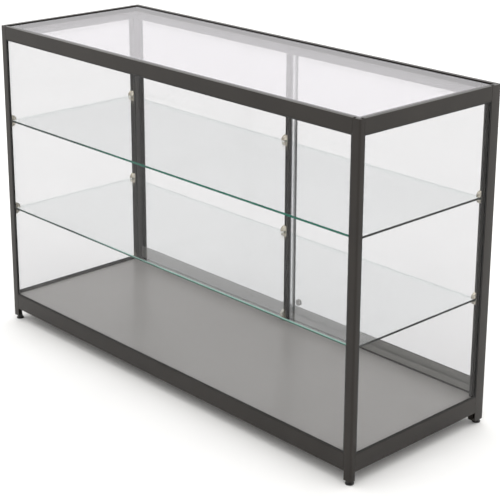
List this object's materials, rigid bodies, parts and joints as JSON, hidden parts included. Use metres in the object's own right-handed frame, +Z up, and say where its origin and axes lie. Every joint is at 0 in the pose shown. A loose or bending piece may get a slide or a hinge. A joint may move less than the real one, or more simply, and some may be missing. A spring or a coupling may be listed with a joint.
{
  "type": "glass display showcase",
  "caption": "Freestanding counter-height glass display showcase: slim metal frame, glass shelves on clips, laminate base board and sliding glass doors at the back.",
  "frame": {"origin": "on the floor under the middle of the case", "axes": "+X along the counter to the customer's right as seen from the front, +Y towards the server's side with the sliding doors, +Z up"},
  "size_m": [1.4, 0.5, 0.9],
  "materials": {
    "frame_powder_coat": "charcoal grey satin powder coat over aluminium extrusion",
    "runner_coat": "lighter grey satin coat on the sliding doors' track and shoes",
    "black_plastic": "moulded black plastic, fine matt texture",
    "gasket_rubber": "matt black extruded glazing gasket",
    "top_glass": "clear float glass with polished edges, faint green edge",
    "clear_glass": "clear float glass with polished edges, faint green edge",
    "shelf_glass": "clear float glass with polished green edges",
    "board_laminate": "smooth dark grey laminate facing",
    "satin_nickel": "satin nickel plate",
    "lock_steel": "brushed steel lock cylinder face",
    "roller_nylon": "grey nylon",
    "edge_plastic": "grey extruded plastic edge channel"
  },
  "bodies": {
    "frame": {"base_board": "board_laminate", "bottom_corner_key_front_left": "black_plastic", "bottom_corner_key_front_right": "black_plastic", "bottom_corner_key_rear_left": "black_plastic", "bottom_corner_key_rear_right": "black_plastic", "bottom_rail_front": "frame_powder_coat", "bottom_rail_left": "frame_powder_coat", "bottom_rail_rear": "frame_powder_coat", "bottom_rail_right": "frame_powder_coat", "centre_upright": "frame_powder_coat", "front_glass": "clear_glass", "front_glass_gasket": "gasket_rubber", "left_glass": "clear_glass", "left_glass_gasket": "gasket_rubber", "lower_door_track": "runner_coat", "post_front_left": "frame_powder_coat", "post_front_right": "frame_powder_coat", "post_rear_left": "frame_powder_coat", "post_rear_right": "frame_powder_coat", "right_glass": "clear_glass", "right_glass_gasket": "gasket_rubber", "top_corner_key_front_left": "frame_powder_coat", "top_corner_key_front_right": "frame_powder_coat", "top_corner_key_rear_left": "frame_powder_coat", "top_corner_key_rear_right": "frame_powder_coat", "top_glass": "top_glass", "top_glass_tape": "gasket_rubber", "top_rail_front": "frame_powder_coat", "top_rail_left": "frame_powder_coat", "top_rail_rear": "frame_powder_coat", "top_rail_right": "frame_powder_coat"},
    "left_door": {"left_door_glass": "clear_glass", "left_door_shoe": "runner_coat", "left_door_edge_trim": "edge_plastic"},
    "right_door": {"right_door_glass": "clear_glass", "right_door_shoe": "runner_coat", "right_door_edge_trim": "edge_plastic", "lock_body": "satin_nickel"},
    "lock_plunger": {"lock_plunger": "satin_nickel"},
    "lock_core": {"lock_core": "lock_steel"},
    "left_door_roller_outer": {"left_door_roller_outer": "roller_nylon"},
    "left_door_roller_inner": {"left_door_roller_inner": "roller_nylon"},
    "right_door_roller_outer": {"right_door_roller_outer": "roller_nylon"},
    "right_door_roller_inner": {"right_door_roller_inner": "roller_nylon"},
    "lower_shelf": {"lower_shelf": "shelf_glass", "lower_shelf_clip_front_left": "satin_nickel", "lower_shelf_clip_front_right": "satin_nickel", "lower_shelf_clip_rear_centre": "satin_nickel", "lower_shelf_clip_rear_left": "satin_nickel", "lower_shelf_clip_rear_right": "satin_nickel"},
    "upper_shelf": {"upper_shelf": "shelf_glass", "upper_shelf_clip_front_left": "satin_nickel", "upper_shelf_clip_front_right": "satin_nickel", "upper_shelf_clip_rear_centre": "satin_nickel", "upper_shelf_clip_rear_left": "satin_nickel", "upper_shelf_clip_rear_right": "satin_nickel"},
    "levelling_foot_front_left": {"levelling_foot_front_left": "black_plastic"},
    "levelling_foot_front_right": {"levelling_foot_front_right": "black_plastic"},
    "levelling_foot_rear_left": {"levelling_foot_rear_left": "black_plastic"},
    "levelling_foot_rear_right": {"levelling_foot_rear_right": "black_plastic"}
  },
  "joints": [
    {"name": "left_door_slide", "type": "slide", "parent": "frame", "child": "left_door", "axis": [1, 0, 0], "range_m": [0, 0.62]},
    {"name": "right_door_slide", "type": "slide", "parent": "frame", "child": "right_door", "axis": [1, 0, 0], "range_m": [-0.62, 0]},
    {"name": "left_door_roller_outer_spin", "type": "hinge", "parent": "left_door", "child": "left_door_roller_outer", "pos_m": [-0.6, 0.234, 0.0931], "axis": [0, 1, 0], "continuous": true},
    {"name": "left_door_roller_inner_spin", "type": "hinge", "parent": "left_door", "child": "left_door_roller_inner", "pos_m": [-0.08, 0.234, 0.0931], "axis": [0, 1, 0], "continuous": true},
    {"name": "right_door_roller_outer_spin", "type": "hinge", "parent": "right_door", "child": "right_door_roller_outer", "pos_m": [0.6, 0.2425, 0.0931], "axis": [0, 1, 0], "continuous": true},
    {"name": "right_door_roller_inner_spin", "type": "hinge", "parent": "right_door", "child": "right_door_roller_inner", "pos_m": [0.08, 0.2425, 0.0931], "axis": [0, 1, 0], "continuous": true},
    {"name": "lock_plunger_press", "type": "slide", "parent": "right_door", "child": "lock_plunger", "axis": [0, 1, 0], "range_m": [-0.0026, 0], "stiffness_N_per_m": 300, "springref_m": 0.004},
    {"name": "lock_core_turn", "type": "hinge", "parent": "lock_plunger", "child": "lock_core", "pos_m": [0.027, 0.248, 0.131], "axis": [0, 1, 0], "range_deg": [0, 90]},
    {"name": "lower_shelf_height", "type": "slide", "parent": "frame", "child": "lower_shelf", "axis": [0, 0, 1], "range_m": [-0.15, 0.1]},
    {"name": "upper_shelf_height", "type": "slide", "parent": "frame", "child": "upper_shelf", "axis": [0, 0, 1], "range_m": [-0.1, 0.15]},
    {"name": "levelling_foot_front_left_height", "type": "slide", "parent": "frame", "child": "levelling_foot_front_left", "axis": [0, 0, -1], "range_m": [0, 0.01]},
    {"name": "levelling_foot_front_right_height", "type": "slide", "parent": "frame", "child": "levelling_foot_front_right", "axis": [0, 0, -1], "range_m": [0, 0.01]},
    {"name": "levelling_foot_rear_left_height", "type": "slide", "parent": "frame", "child": "levelling_foot_rear_left", "axis": [0, 0, -1], "range_m": [0, 0.01]},
    {"name": "levelling_foot_rear_right_height", "type": "slide", "parent": "frame", "child": "levelling_foot_rear_right", "axis": [0, 0, -1], "range_m": [0, 0.01]}
  ],
  "couplings": [
    {"joint": "left_door_roller_outer_spin", "follows": "left_door_slide", "rad_per_m": 181.82},
    {"joint": "left_door_roller_inner_spin", "follows": "left_door_slide", "rad_per_m": 181.82},
    {"joint": "right_door_roller_outer_spin", "follows": "right_door_slide", "rad_per_m": 181.82},
    {"joint": "right_door_roller_inner_spin", "follows": "right_door_slide", "rad_per_m": 181.82}
  ]
}
